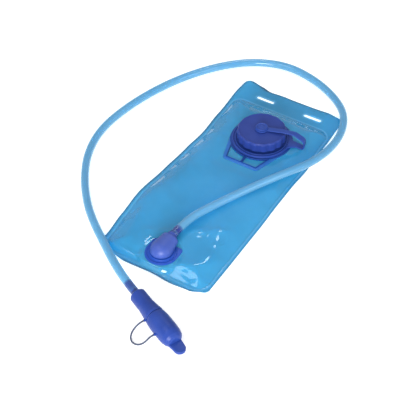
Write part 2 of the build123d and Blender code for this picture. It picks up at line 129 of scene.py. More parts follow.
def softbox(name, azimuth, elevation, distance, size, power):
    data = bpy.data.lights.new(name, "AREA")
    data.shape = "DISK"
    data.size = size
    data.energy = power
    lamp = bpy.data.objects.new(name, data)
    bpy.context.scene.collection.objects.link(lamp)
    back = direction(math.radians(azimuth), math.radians(elevation))
    lamp.location = back * distance
    lamp.rotation_euler = back.to_track_quat("Z", "Y").to_euler()


def set_ramp(ramp, first, second, low, high):
    """Makes a colour ramp run from its first colour at low to its second at high."""
    for element, position, colour in zip(ramp.color_ramp.elements, (low, high), (first, second)):
        element.position = position
        element.color = (*colour, 1.0)


def light_the_scene():
    world = bpy.data.worlds.new("studio")
    bpy.context.scene.world = world
    world.use_nodes = True
    tree = world.node_tree
    background = tree.nodes["Background"]
    background.inputs["Strength"].default_value = WORLD_STRENGTH
    place = tree.nodes.new("ShaderNodeTexCoord")
    split = tree.nodes.new("ShaderNodeSeparateXYZ")
    ramp = tree.nodes.new("ShaderNodeValToRGB")
    set_ramp(ramp, WORLD_LOW, WORLD_HIGH, 0.30, 0.95)
    tree.links.new(place.outputs["Generated"], split.inputs["Vector"])
    tree.links.new(split.outputs["Z"], ramp.inputs["Fac"])
    tree.links.new(ramp.outputs["Color"], background.inputs["Color"])
    for name, settings in LAMPS.items():
        softbox(name, *settings)
    bpy.context.scene.view_settings.view_transform = "Standard"


def lay_floor():
    mesh = bpy.data.meshes.new("floor")
    corners = [(x * FLOOR_HALF, y * FLOOR_HALF, 0) for x, y in ((-1, -1), (1, -1), (1, 1), (-1, 1))]
    mesh.from_pydata(corners, [], [(0, 1, 2, 3)])
    floor = bpy.data.objects.new("floor", mesh)
    bpy.context.scene.collection.objects.link(floor)
    floor.location.z = -FLOOR_DROP
    material, shader = new_material("pale_floor")
    set_inputs(shader, {
        "Base Color": (0.93, 0.93, 0.93, 1.0), "Roughness": 0.8, "Specular IOR Level": 0.1,
        "Emission Color": (1.0, 1.0, 1.0, 1.0), "Emission Strength": FLOOR_GLOW})
    mesh.materials.append(material)


# ---------------------------------------------------------------- materials

def new_material(name):
    material = bpy.data.materials.new(name)
    material.use_nodes = True
    return material, material.node_tree.nodes["Principled BSDF"]


def add_node(material, kind, **values):
    node = material.node_tree.nodes.new(kind)
    for key, value in values.items():
        setattr(node, key, value)
    return node


def set_inputs(node, values):
    for name, value in values.items():
        node.inputs[name].default_value = value


def link(material, source, target):
    material.node_tree.links.new(source, target)


def place_noise(material, scale, detail=4.0, roughness=0.55):
    """A noise value that is fixed to the object's own coordinates."""
    place = add_node(material, "ShaderNodeTexCoord")
    noise = add_node(material, "ShaderNodeTexNoise")
    set_inputs(noise, {"Scale": scale, "Detail": detail, "Roughness": roughness})
    link(material, place.outputs["Object"], noise.inputs["Vector"])
    return noise.outputs["Fac"]


def two_tone(material, factor, dark, light, low=0.3, high=0.7):
    """A colour that runs from dark to light as the factor runs from low to high."""
    ramp = add_node(material, "ShaderNodeValToRGB")
    set_ramp(ramp, dark, light, low, high)
    link(material, factor, ramp.inputs["Fac"])
    return ramp.outputs["Color"]


def varied(material, factor, low, high):
    spread = add_node(material, "ShaderNodeMapRange")
    set_inputs(spread, {"To Min": low, "To Max": high})
    link(material, factor, spread.inputs["Value"])
    return spread.outputs["Result"]


def tinted(material, plain, attribute_name, tint):
    """The plain colour, turned to the tint as far as the mesh's own value says."""
    share = add_node(material, "ShaderNodeAttribute", attribute_name=attribute_name)
    mix = add_node(material, "ShaderNodeMix", data_type="RGBA")
    link(material, share.outputs["Fac"], mix.inputs["Factor"])
    link(material, plain, mix.inputs["A"])
    mix.inputs["B"].default_value = (*tint, 1.0)
    return mix.outputs["Result"]


def bumped(material, shader, height, strength, distance):
    bump = add_node(material, "ShaderNodeBump")
    set_inputs(bump, {"Strength": strength, "Distance": distance})
    link(material, height, bump.inputs["Height"])
    link(material, bump.outputs["Normal"], shader.inputs["Normal"])


def moulded_plastic(name, dark, light, roughness, gloss=0.22, grain=900.0, grain_depth=0.00004):
    """Satin moulded plastic: a slight cloudiness in its colour and gloss, and a fine moulded grain."""
    material, shader = new_material(name)
    cloud = place_noise(material, 55.0)
    link(material, two_tone(material, cloud, dark, light), shader.inputs["Base Color"])
    link(material, varied(material, place_noise(material, 260.0), roughness - 0.06, roughness + 0.08),
         shader.inputs["Roughness"])
    bumped(material, shader, place_noise(material, grain, 3.0), 0.35, grain_depth)
    shader.inputs["Specular IOR Level"].default_value = gloss
    return material


def lets_lamps_through(material, shader, tint):
    """Lamps shine through the shader as through tinted film, so what lies under it isn't dark."""
    path = add_node(material, "ShaderNodeLightPath")
    clear = add_node(material, "ShaderNodeBsdfTransparent")
    clear.inputs["Color"].default_value = (*tint, 1.0)
    mix = add_node(material, "ShaderNodeMixShader")
    link(material, path.outputs["Is Shadow Ray"], mix.inputs["Fac"])
    link(material, shader.outputs["BSDF"], mix.inputs[1])
    link(material, clear.outputs["BSDF"], mix.inputs[2])
    link(material, mix.outputs["Shader"], material.node_tree.nodes["Material Output"].inputs["Surface"])


def film_plastic():
    """Blue glossy film: mostly clear, a little milky, darker along its welds and its cut edge."""
    material, shader = new_material("blue_film")
    cloud = place_noise(material, 14.0, 5.0)
    clear = two_tone(material, cloud, (0.062, 0.395, 0.600), (0.094, 0.465, 0.685))
    edged = tinted(material, clear, "seam", (0.03, 0.12, 0.24))
    link(material, tinted(material, edged, "weld", (0.40, 0.74, 0.90)), shader.inputs["Base Color"])
    set_inputs(shader, {"Transmission Weight": 0.62, "IOR": 1.08, "Coat Weight": 0.75, "Coat Roughness": 0.04})
    link(material, varied(material, cloud, 0.10, 0.20), shader.inputs["Roughness"])
    bumped(material, shader, place_noise(material, 38.0, 2.0, 0.40), 0.3, 0.0010)
    lets_lamps_through(material, shader, (0.50, 0.80, 0.92))
    return material


def hose_plastic():
    """Pale blue, slightly milky tube, deeper blue on its bore and where a barb fills it."""
    material, shader = new_material("clear_hose")
    cloud = place_noise(material, 40.0)
    clear = two_tone(material, cloud, (0.135, 0.405, 0.600), (0.165, 0.445, 0.640))
    lined = tinted(material, clear, "bore", (0.10, 0.36, 0.60))
    link(material, tinted(material, lined, "barbed", (0.022, 0.050, 0.300)), shader.inputs["Base Color"])
    set_inputs(shader, {"Transmission Weight": 0.50, "IOR": 1.06, "Coat Weight": 1.0, "Coat Roughness": 0.06})
    link(material, varied(material, cloud, 0.03, 0.06), shader.inputs["Roughness"])
    lets_lamps_through(material, shader, (0.62, 0.84, 0.93))
    return material


def soft_rubber(name, dark, light, roughness):
    material, shader = new_material(name)
    link(material, two_tone(material, place_noise(material, 180.0), dark, light), shader.inputs["Base Color"])
    set_inputs(shader, {"Roughness": roughness, "Specular IOR Level": 0.35})
    bumped(material, shader, place_noise(material, 1400.0, 2.0), 0.3, 0.00003)
    return material


# ---------------------------------------------------------------- mesh making

def add_piece(name, vertices, faces, material):
    """An object from vertices in millimetres, its faces turned outwards."""
    mesh = bpy.data.meshes.new(name)
    mesh.from_pydata((np.asarray(vertices, float) * MM).tolist(), [], faces)
    mesh.validate()
    mesh.materials.append(material)
    mesh.polygons.foreach_set("use_smooth", [True] * len(mesh.polygons))
    piece = bpy.data.objects.new(name, mesh)
    bpy.context.scene.collection.objects.link(piece)
    face_outwards(piece)
    return piece


def face_outwards(piece, weld=0.0):
    """Turns the faces' front sides out, after welding vertices closer than a distance, in metres."""
    form = bmesh.new()
    form.from_mesh(piece.data)
    if weld:
        bmesh.ops.remove_doubles(form, verts=form.verts, dist=weld)
    bmesh.ops.recalc_face_normals(form, faces=form.faces)
    form.to_mesh(piece.data)
    form.free()


def ring_faces(rings, count):
    """Faces between rings of vertices that follow each other, counting from the first vertex."""
    return [[i * count + j, i * count + k, (i + 1) * count + k, (i + 1) * count + j]
            for i in range(rings - 1) for j, k in ((j, (j + 1) % count) for j in range(count))]


def end_faces(rings, count):
    """The two faces that close the rings' ends."""
    return [list(range(count))[::-1], list(range((rings - 1) * count, rings * count))]


def point_values(piece, name, values):
    """Gives the mesh a named value for each vertex, which its material reads."""
    attribute = piece.data.attributes.new(name, "FLOAT", "POINT")
    attribute.data.foreach_set("value", np.asarray(values, np.float32))


def joined(name, pieces):
    """One object from several, in the first one's place."""
    with bpy.context.temp_override(
            active_object=pieces[0], selected_editable_objects=pieces, selected_objects=pieces):
        bpy.ops.object.join()
    pieces[0].name = name
    return pieces[0]


def cut_away(piece, cutters):
    """Takes the cutters' shapes out of the piece."""
    for cutter in cutters:
        cut = piece.modifiers.new("hole", "BOOLEAN")
        cut.operation = "DIFFERENCE"
        cut.solver = "EXACT"
        cut.object = cutter
    graph = bpy.context.evaluated_depsgraph_get()
    mesh = bpy.data.meshes.new_from_object(piece.evaluated_get(graph))
    piece.modifiers.clear()
    piece.data = mesh


def arc_points(radius, start, stop, count, x=0.0, y=0.0):
    return [(x + radius * math.cos(a), y + radius * math.sin(a)) for a in np.linspace(start, stop, count)]


def rounded(points, closed=True, steps=5):
    """Replaces each corner (a, b, radius) of an outline by an arc of that radius."""
    corners = [np.array(p[:2], float) for p in points]
    radii = [p[2] if len(p) > 2 else 0.0 for p in points]
    out = []
    count = len(corners)
    for i in range(count):
        at_end = not closed and i in (0, count - 1)
        if radii[i] <= 0 or at_end:
            out.append(corners[i])
            continue
        before = corners[i - 1] - corners[i]
        after = corners[(i + 1) % count] - corners[i]
        half = math.acos(np.clip(before @ after / np.linalg.norm(before) / np.linalg.norm(after), -1, 1)) / 2
        reach = min(radii[i] / math.tan(half), 0.49 * np.linalg.norm(before), 0.49 * np.linalg.norm(after))
        start = corners[i] + before / np.linalg.norm(before) * reach
        stop = corners[i] + after / np.linalg.norm(after) * reach
        for step in range(steps + 1):
            t = step / steps
            curve = (1 - t) ** 2 * start + 2 * t * (1 - t) * corners[i] + t ** 2 * stop
            out.append(curve)
    return np.array(out)


def turned(name, outline, material, segments=128, closed=True, shape=None):
    """A solid of revolution about Z from (radius, height) points; shape may change a radius by angle."""
    outline = np.asarray(outline, float)
    angles = np.linspace(0, 2 * math.pi, segments, endpoint=False)
    vertices, rings = [], []
    for index, (radius, height) in enumerate(outline):
        if radius < 1e-6:
            rings.append([len(vertices)] * segments)
            vertices.append((0.0, 0.0, height))
            continue
        radii = np.full(segments, radius) if shape is None else shape(index, radius, angles)
        rings.append(list(range(len(vertices), len(vertices) + segments)))
        vertices += list(zip(radii * np.cos(angles), radii * np.sin(angles), [height] * segments))
    faces = []
    pairs = list(zip(rings, rings[1:])) + ([(rings[-1], rings[0])] if closed else [])
    for lower, upper in pairs:
        for i in range(segments):
            j = (i + 1) % segments
            face = list(dict.fromkeys([lower[i], lower[j], upper[j], upper[i]]))
            if len(face) > 2:
                faces.append(face)
    return add_piece(name, vertices, faces, material)


def along(points):
    """Side and up directions carried along a path without twist."""
    points = np.asarray(points, float)
    tangents = np.gradient(points, axis=0)
    tangents /= np.linalg.norm(tangents, axis=1)[:, None]
    side = np.cross(tangents[0], (0, 0, 1))
    if np.linalg.norm(side) < 1e-3:
        side = np.array((1.0, 0, 0))
    sides = []
    for tangent in tangents:
        side = side - (side @ tangent) * tangent
        side = side / np.linalg.norm(side)
        sides.append(side)
    sides = np.array(sides)
    return sides, np.cross(sides, tangents)


def swept(name, points, sections, material, bore=None):
    """A mesh through closed sections (side, up offsets), one for each point, hollow if bore is given."""
    points = np.asarray(points, float)
    sides, ups = along(points)
    count = len(sections[0])

    def rings(shapes):
        return np.concatenate([
            p + np.outer(shape[:, 0], s) + np.outer(shape[:, 1], u)
            for p, s, u, shape in zip(points, sides, ups, shapes)])

    vertices = rings(sections)
    last = (len(points) - 1) * count
    faces = ring_faces(len(points), count)
    if bore is None:
        faces += end_faces(len(points), count)
    else:
        offset = len(vertices)
        inner = rings(bore)
        vertices = np.concatenate([vertices, inner])
        faces += [[offset + v for v in face[::-1]] for face in faces]
        for j in range(count):
            k = (j + 1) % count
            faces.append([j, offset + j, offset + k, k])
            faces.append([last + j, last + k, offset + last + k, offset + last + j])
    return add_piece(name, vertices, faces, material)


def circle(radius, count=32):
    angles = np.linspace(0, 2 * math.pi, count, endpoint=False)
    return np.stack([radius * np.cos(angles), radius * np.sin(angles)], 1)


def spline_points(route, resolution=12):
    """Points of the smooth NURBS line that has the route's points, in metres, as control points."""
    data = bpy.data.curves.new("route", "CURVE")
    data.dimensions = "3D"
    data.resolution_u = resolution
    spline = data.splines.new("NURBS")
    spline.points.add(len(route) - 1)
    for point, place in zip(spline.points, route):
        point.co = (*place, 1.0)
    spline.order_u = 3
    spline.use_endpoint_u = True
    line = bpy.data.objects.new("route", data)
    mesh = bpy.data.meshes.new_from_object(line)
    points = np.array([v.co for v in mesh.vertices], float)
    bpy.data.objects.remove(line)
    return points


def plate(name, outlines, low, high, bevel, material):
    """A flat plate between two heights with rounded edges, from an outer outline and its holes."""
    data = bpy.data.curves.new(name, "CURVE")
    data.dimensions = "2D"
    data.fill_mode = "BOTH"
    data.extrude = (high - low) / 2 * MM - bevel * MM
    data.bevel_depth = bevel * MM
    data.bevel_resolution = 2
    data.offset = -bevel * MM
    for outline in outlines:
        spline = data.splines.new("POLY")
        spline.points.add(len(outline) - 1)
        for point, (x, y) in zip(spline.points, outline):
            point.co = (x * MM, y * MM, 0.0, 1.0)
        spline.use_cyclic_u = True
    form = bpy.data.objects.new(name, data)
    mesh = bpy.data.meshes.new_from_object(form)
    bpy.data.objects.remove(form)
    mesh.transform(Matrix.Translation((0, 0, (low + high) / 2 * MM)))
    mesh.materials.clear()
    mesh.materials.append(material)
    piece = bpy.data.objects.new(name, mesh)
    bpy.context.scene.collection.objects.link(piece)
    face_outwards(piece, weld=1e-6)
    return piece


def smooth_by_angle(piece, degrees=35):
    piece.data.polygons.foreach_set("use_smooth", [True] * len(piece.data.polygons))
    piece.data.set_sharp_from_angle(angle=math.radians(degrees))
    return piece


def moved(piece, x=0.0, y=0.0, z=0.0, turn=0.0):
    """Turns the mesh about Z by degrees and then moves it by millimetres."""
    piece.data.transform(
        Matrix.Translation((x * MM, y * MM, z * MM)) @ Matrix.Rotation(math.radians(turn), 4, "Z"))
    return piece


def helix_ridge(name, root, crest, start, turns, lead, material, thick=1.0, steps=72):
    """A screw thread's ridge from root to crest radius, which runs out at both ends."""
    count = int(steps * turns)
    angles = np.linspace(0, 2 * math.pi * turns, count)
    vertices = []
    for i, angle in enumerate(angles):
        fade = min(1.0, i / 6, (count - 1 - i) / 6)
        peak = root + (crest - root) * (0.15 + 0.85 * fade)
        height = start + lead * angle / (2 * math.pi)
        for radius, rise in ((root, -thick), (peak, -thick / 2), (peak, thick / 2), (root, thick)):
            vertices.append((radius * math.cos(angle), radius * math.sin(angle), height + rise))
    return smooth_by_angle(add_piece(name, vertices, ring_faces(count, 4) + end_faces(count, 4), material))


def smoothstep(share):
    return share * share * (3 - 2 * share)


def eased(x, knots):
    """A smooth curve through (place, value) knots."""
    places = np.array([k[0] for k in knots], float)
    values = np.array([k[1] for k in knots], float)
    x = np.clip(x, places[0], places[-1])
    index = np.clip(np.searchsorted(places, x, side="right") - 1, 0, len(places) - 2)
    t = smoothstep((x - places[index]) / (places[index + 1] - places[index]))
    return values[index] * (1 - t) + values[index + 1] * t


def near(distance, inner, outer):
    """1 up to the inner distance, 0 from the outer one, smooth between."""
    return smoothstep(np.clip((outer - distance) / (outer - inner), 0, 1))


# ---------------------------------------------------------------- hose and cover tether

HOSE_D = 10.0
HOSE_BORE = 7.0
HOSE_ROUTE = [
    (0.00320, -0.12651, 0.0180), (0.00425, -0.09653, 0.0180), (0.0140, -0.0670, 0.0160),
    (0.0270, -0.0350, 0.0148), (0.0430, -0.0010, 0.0148), (0.0600, 0.0310, 0.0152),
    (0.0770, 0.0645, 0.0132), (0.0845, 0.1020, 0.0092), (0.0840, 0.1385, 0.0090),
    (0.0700, 0.1745, 0.0090), (0.0395, 0.2025, 0.0062), (-0.0010, 0.2215, 0.0052),
    (-0.0450, 0.2275, 0.0052), (-0.0870, 0.2110, 0.0052), (-0.1200, 0.1800, 0.0052),
    (-0.1470, 0.1380, 0.0052), (-0.1660, 0.0920, 0.0052), (-0.1780, 0.0430, 0.0052),
    (-0.1820, -0.0070, 0.0052), (-0.1710, -0.0520, 0.0052), (-0.1480, -0.0920, 0.0052),
    (-0.1180, -0.1275, 0.0060), (-0.0900, -0.1520, 0.0088), (-0.0625, -0.1715, 0.0090),
    (-0.0370, -0.1900, 0.0102), (-0.0082, -0.2082, 0.0130), (0.0163, -0.2196, 0.0130),
]
ELBOW_BARB_IN_HOSE = 11.0
VALVE_BARB_IN_HOSE = 19.5
TETHER_D = 2.0
TETHER_ROUTE = [
    (0.04285, -0.24665, 0.0130), (0.04116, -0.25028, 0.0130), (0.0386, -0.2560, 0.0100),
    (0.0372, -0.2622, 0.0056), (0.0394, -0.2678, 0.0026), (0.0443, -0.2706, 0.0014),
    (0.0503, -0.2700, 0.0015), (0.0552, -0.2672, 0.0040), (0.0588, -0.2644, 0.0092),
    (0.0610, -0.26099, 0.0130), (0.06269, -0.25735, 0.0130),
]
VALVE_START = np.array(HOSE_ROUTE[-1]) / MM
VALVE_ANGLE = -25.0


def arc_lengths(points):
    return np.concatenate([[0.0], np.cumsum(np.linalg.norm(np.diff(points, axis=0), axis=1))])


def make_hose(material):
    path = spline_points(HOSE_ROUTE, 24)
    points = path / MM
    outer = circle(HOSE_D / 2, 48)
    inner = circle(HOSE_BORE / 2, 48)
    piece = swept("drinking_hose", points, [outer] * len(points), material, [inner] * len(points))
    lengths = arc_lengths(points)
    barbed = np.maximum(
        near(lengths, ELBOW_BARB_IN_HOSE, ELBOW_BARB_IN_HOSE + 1.5),
        near(lengths[-1] - lengths, VALVE_BARB_IN_HOSE, VALVE_BARB_IN_HOSE + 1.5))
    from_end = np.minimum(lengths, lengths[-1] - lengths)
    barbed = barbed * (0.86 + 0.14 * np.sign(np.sin(from_end * 1.9)) * near(from_end, 8.0, 9.0))
    point_values(piece, "barbed", np.tile(np.repeat(barbed, len(outer)), 2))
    point_values(piece, "bore", np.repeat((0.0, 1.0), len(barbed) * len(outer)))
    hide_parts("hose")
    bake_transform(piece)
    return piece, path


def make_tether(material):
    path = spline_points(TETHER_ROUTE, 10)
    points = path / MM
    section = circle(TETHER_D / 2, 14)
    piece = swept("cover_tether_cord", points, [section] * len(points), material)
    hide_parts("cover_tether")
    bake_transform(piece)
    return piece, path


# ---------------------------------------------------------------- the bag's two films

FILM = 0.4
SIDE_WELD = 6.0
CHAMBER_BOTTOM = -BAG_HALF_LENGTH + 4.0
CHAMBER_TOP = BAG_HALF_LENGTH - 36.0
CHAMBER_CORNER = 14.0
BAG_CORNER = 9.0
GRID_STEP = 1.9
FINE_STEP = 0.7
FINE_REACH = 12.0
FILL = 8.3
WELD_GAP = 0.06
SLOT_LENGTH = 25.0
SLOT_WIDTH = 4.6
SLOT_SPACING = 69.0
SLOT_Y = BAG_HALF_LENGTH - 20.5
# How far each edge of the bag stands out (mm) at places along it, from wrinkling and relaxed welds
LEFT_WAVE = [(-175, -1.0), (-155, -2.5), (-118, 0.5), (-77, 2.2), (-25, 0.7), (22, -1.6), (56, -3.6),
             (100, -1.2), (143, 0.4), (175, -2.0)]
RIGHT_WAVE = [(-175, 1.5), (-140, 1.2), (-55, 0.8), (0, -0.4), (30, -0.6), (60, 0.6), (120, -1.0),
              (155, -2.5), (175, -4.0)]
BOTTOM_WAVE = [(-75, -6.0), (-60, -2.0), (-35, 1.6), (2, 1.4), (32, 3.0), (60, 1.0), (75, -4.0)]
TOP_WAVE = [(-75, 0.5), (-60, 0.0), (-40, -3.6), (15, -2.2), (55, -2.2), (75, -4.0)]
# Places where the weld lifts off the surface: x, y, reach and height (mm)
LIFTS = [(-76, -77, 42, 4.5), (-74, 175, 26, 4.5), (-76, 150, 26, 1.6), (78, -168, 24, 0.8), (10, -178, 34, 1.6),
         (-20, 176, 20, 1.2), (52, 176, 26, 1.4)]
# Ridges in the front film: two ends, width and height (mm)
CREASES = [
    (-52, -164, 10, -171, 4.0, 1.5), (-18, -158, 46, -162, 5.0, -1.4), (-62, 150, -30, 143, 4.0, 1.2),
    (-66, 120, -46, 98, 5.0, 0.9), (-60, 60, -30, 52, 6.0, 0.8), (-64, -60, -30, -74, 9.0, 0.9),
    (-55, -110, -45, -150, 5.0, 1.0), (30, -60, 56, -120, 8.0, 0.8), (54, -140, 30, -158, 6.0, 1.0),
    (58, 96, 46, 122, 5.0, 0.9), (-8, -20, 14, -58, 9.0, 0.7), (-44, 20, -20, -10, 10.0, 0.7),
    (-56, 126, -34, 116, 3.5, 1.0), (-48, 108, -36, 90, 3.0, -0.9), (52, 40, 62, 12, 4.0, 0.9),
    (-30, -128, -8, -118, 5.0, 0.9), (20, -100, 48, -84, 7.0, 0.9), (-62, 0, -40, -14, 6.0, 0.8),
]
# Shallow dents that catch the light: x, y, width and height (mm)
DENTS = [(18, -30, 13, 1.6), (60, -64, 9, 0.8), (54, -129, 10, 1.2), (34, -158, 14, 1.2)]
EMBOSS_AT = (44.0, -97.0)


def left_edge(y):
    return -BAG_HALF_WIDTH - eased(y, LEFT_WAVE)


def right_edge(y):
    return BAG_HALF_WIDTH + eased(y, RIGHT_WAVE)


def inside_share(distance, width):
    """How full the chamber is at a distance inside its weld: 0 at the weld and 1 past the width."""
    share = np.clip(distance / width, 0, 1)
    return (1 - (1 - share) ** 2.2) ** 1.1


def weld_distance(x, y):
    """Distance inside the chamber's weld line, less than 0 in the welded band."""
    sides = np.minimum(x - left_edge(y) - SIDE_WELD, right_edge(y) - SIDE_WELD - x)
    ends = np.minimum(y - CHAMBER_BOTTOM, CHAMBER_TOP - y)
    nearest = np.minimum(sides, ends)
    short = np.hypot(np.maximum(CHAMBER_CORNER - sides, 0), np.maximum(CHAMBER_CORNER - ends, 0))
    return np.where(nearest > CHAMBER_CORNER, nearest, CHAMBER_CORNER - short)


def lift(x, y):
    total = np.zeros_like(x)
    for at_x, at_y, reach, height in LIFTS:
        total += height * np.exp(-((x - at_x) ** 2 + ((y - at_y) * 0.75) ** 2) / reach ** 2 * 2.2)
    return total


def crease(x, y, start_x, start_y, end_x, end_y, width, height):
    run = np.array((end_x - start_x, end_y - start_y), float)
    length = np.linalg.norm(run)
    run /= length
    forward = (x - start_x) * run[0] + (y - start_y) * run[1]
    sideways = (y - start_y) * run[0] - (x - start_x) * run[1]
    beyond = np.maximum(0, np.maximum(-forward, forward - length))
    return height * np.exp(-(sideways / width) ** 2 - (beyond / (1.8 * width)) ** 2)


def front_height(x, y):
    """Height of the front film's middle surface."""
    inside = weld_distance(x, y)
    full = inside_share(np.maximum(inside, 0), 30.0)
    bottom = inside_share(np.maximum(y - CHAMBER_BOTTOM, 0), 16.0)
    swell = FILL * full ** 0.95 * bottom ** 0.4
    ripple = 0.3 * np.sin(x / 9.0 + 1.7 * np.sin(y / 31.0)) * np.sin(y / 23.0 + 0.8 * np.sin(x / 17.0))
    pucker = 0.30 * np.sin(y / 5.3 + 2.0 * np.sin(y / 37.0)) * np.exp(-((inside - 7) / 6.0) ** 2)
    folds = sum(crease(x, y, *c) for c in CREASES)
    emboss = np.hypot(x - EMBOSS_AT[0], y - EMBOSS_AT[1])
    mark = 0.35 * np.exp(-((emboss - 13.0) / 0.9) ** 2) + 0.25 * np.exp(-((emboss - 9.5) / 0.8) ** 2)
    loose = np.clip(inside / 6.0, 0, 1)
    dents = sum(h * np.exp(-((x - at_x) ** 2 + (y - at_y) ** 2) / w ** 2) for at_x, at_y, w, h in DENTS)
    free = WELD_GAP + np.maximum(swell + loose * (ripple + pucker + folds + mark + dents), 0)
    under_neck = near(np.hypot(x - NECK_X, y - NECK_Y), FLANGE_R + 1.0, FLANGE_R + 17.0)
    handle = np.hypot(np.maximum(np.abs(x - NECK_X) - 22, 0), np.maximum(np.abs(y - NECK_Y + 30) - 26, 0))
    under_handle = near(handle, 6.0, 18.0)
    outlet = np.hypot(np.maximum(np.abs(x - OUTLET_X) - 7, 0), np.maximum(np.abs(y - OUTLET_Y) - 6, 0))
    under_outlet = near(outlet, 14.0, 20.0)
    held = np.maximum(np.maximum(under_neck, under_handle), under_outlet)
    flat = FILM_TOP - FILM / 2 - 0.05
    return free * (1 - held) + flat * held + FILM + back_height(x, y) * (1 - held)


def back_height(x, y):
    """Height of the back film's middle surface."""
    return FILM / 2 + 0.1 + lift(x, y)


def grid_lines(low, high, fine_places):
    """Grid lines that are close together near some places."""
    lines = list(np.arange(low, high + 1e-6, GRID_STEP))
    for place in fine_places:
        lines += list(np.arange(max(low, place - FINE_REACH), min(high, place + FINE_REACH), FINE_STEP))
    lines = np.unique(np.round(lines, 3))
    kept = [lines[0]]
    for line in lines[1:]:
        if line - kept[-1] > 0.6 * FINE_STEP:
            kept.append(line)
    return np.array(kept)


def bag_outline_grid():
    """X and Y of the grid's points, fitted to the bag's wavy outline and its rounded corners."""
    across = grid_lines(-75, 75, (-62, 62)) / 75
    rows = grid_lines(-166, 166, (132,))
    turn = np.linspace(0, math.pi / 2, 10)[1:]
    rows = np.concatenate([
        (-175 + BAG_CORNER - BAG_CORNER * np.sin(turn))[::-1], rows, 175 - BAG_CORNER + BAG_CORNER * np.sin(turn)])
    s, row = np.meshgrid(across, rows)
    past = np.maximum(np.abs(row) - (175 - BAG_CORNER), 0)
    cut = BAG_CORNER - np.sqrt(np.maximum(BAG_CORNER ** 2 - past ** 2, 0))
    x = np.where(s < 0, -s * (left_edge(row) + cut), s * (right_edge(row) - cut))
    near_end = (np.abs(row) / 175) ** 12
    y = row + near_end * np.where(row < 0, -eased(s * 75, BOTTOM_WAVE), eased(s * 75, TOP_WAVE))
    return x, y


def film_piece(name, height, cutters, material):
    """A closed sheet of film over the bag's outline, with the cutters' holes in it."""
    x, y = bag_outline_grid()
    z = height(x, y)
    rows, columns = x.shape
    top = np.stack([x, y, z + FILM / 2], -1).reshape(-1, 3)
    under = top - (0, 0, FILM)
    index = np.arange(rows * columns).reshape(rows, columns)
    a, b, c, d = index[:-1, :-1], index[:-1, 1:], index[1:, 1:], index[1:, :-1]
    upper = np.stack([a, b, c, d], -1).reshape(-1, 4)
    lower = upper[:, ::-1] + len(top)
    rim = np.concatenate([index[0, :], index[1:, -1], index[-1, -2::-1], index[-2:0:-1, 0]])
    after = np.roll(rim, -1)
    wall = np.stack([rim, rim + len(top), after + len(top), after], -1)
    faces = np.concatenate([upper, lower, wall]).tolist()
    piece = add_piece(name, np.concatenate([top, under]), faces, material)
    cut_away(piece, cutters)
    x, y = np.array([v.co[:2] for v in piece.data.vertices], float).T / MM
    inside = weld_distance(x, y)
    from_sides = np.minimum(x - left_edge(y), right_edge(y) - x)
    from_ends = np.minimum(y + 175 + eased(x, BOTTOM_WAVE), 175 + eased(x, TOP_WAVE) - y)
    from_rim = np.maximum(np.minimum(from_sides, from_ends), 0)
    seam = 0.15 * np.exp(-(inside / 0.9) ** 2) + 0.95 * np.exp(-from_rim / 1.2)
    slot = np.hypot(
        np.maximum(np.abs(np.abs(x) - SLOT_SPACING / 2) - (SLOT_LENGTH - SLOT_WIDTH) / 2, 0),
        y - SLOT_Y) - SLOT_WIDTH / 2
    weld = 0.30 * np.exp(-((inside + 1.4) / 1.1) ** 2) + 0.55 * np.exp(-(slot / 1.6) ** 2)
    point_values(piece, "seam", np.clip(seam, 0, 1))
    point_values(piece, "weld", np.clip(weld, 0, 1))
    return smooth_by_angle(piece, 50)


def slot_outline(centre_x, centre_y):
    half = (SLOT_LENGTH - SLOT_WIDTH) / 2
    right = arc_points(SLOT_WIDTH / 2, -math.pi / 2, math.pi / 2, 9, centre_x + half, centre_y)
    left = [(2 * centre_x - px, 2 * centre_y - py) for px, py in right]
    return right + left


def prism(name, outline, low, high, material):
    count = len(outline)
    vertices = [(x, y, height) for height in (low, high) for x, y in outline]
    return add_piece(name, vertices, end_faces(2, count) + ring_faces(2, count), material)


def round_outline(x, y, radius, count=72):
    return [(x + radius * math.cos(2 * math.pi * i / count), y + radius * math.sin(2 * math.pi * i / count))
            for i in range(count)]


def make_films(material):
    outlines = [
        slot_outline(-SLOT_SPACING / 2, SLOT_Y), slot_outline(SLOT_SPACING / 2, SLOT_Y),
        round_outline(NECK_X, NECK_Y, NECK_BORE_R + 0.1), round_outline(OUTLET_X, OUTLET_Y, 7.2)]
    cutters = [prism("film_cutter", outline, -5, 30, material) for outline in outlines]
    back = film_piece("bag_back_film", back_height, cutters[:2], material)
    front = film_piece("bag_front_film", front_height, cutters, material)
    for cutter in cutters:
        bpy.data.objects.remove(cutter)
    for piece, node in ((back, "back_film"), (front, "front_film")):
        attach(piece, "bladder")
        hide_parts(node)


# ---------------------------------------------------------------- filler neck, handle, ring, strap and cap

NECK_BORE_R = 22.5
THREAD_LEAD = 5.0
THREAD_START = RING_HIGH + 2.6
STRAP_ANGLE = 14.0
SCALLOPS = 16


def make_neck(material):
    r = FLANGE_R
    base = FILM_TOP
    outline = rounded([
        (NECK_BORE_R, base), (r - 0.2, base, 0.3), (r - 0.2, base + 0.9, 0.5), (r - 2.6, base + 1.0, 0.3),
        (r - 3.4, base + 1.38, 0.3), (26.0, base + 1.38, 0.4), (26.0, NECK_TOP, 0.8),
        (NECK_BORE_R, NECK_TOP, 0.6)])
    body = turned("filler_neck", outline, material)
    ridge = helix_ridge("neck_thread", 25.8, 27.6, THREAD_START, 1.3, THREAD_LEAD, material)
    piece = smooth_by_angle(joined("filler_neck", [body, ridge]))
    moved(piece, NECK_X, NECK_Y)
    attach(piece, "bladder")
    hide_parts("fill_neck")


HANDLE_HALF_LOW = 24.0
HANDLE_HALF_TOP = 36.0
HANDLE_TOP = 12.0
HANDLE_BAR = 4.3
HANDLE_LEG = 1.15


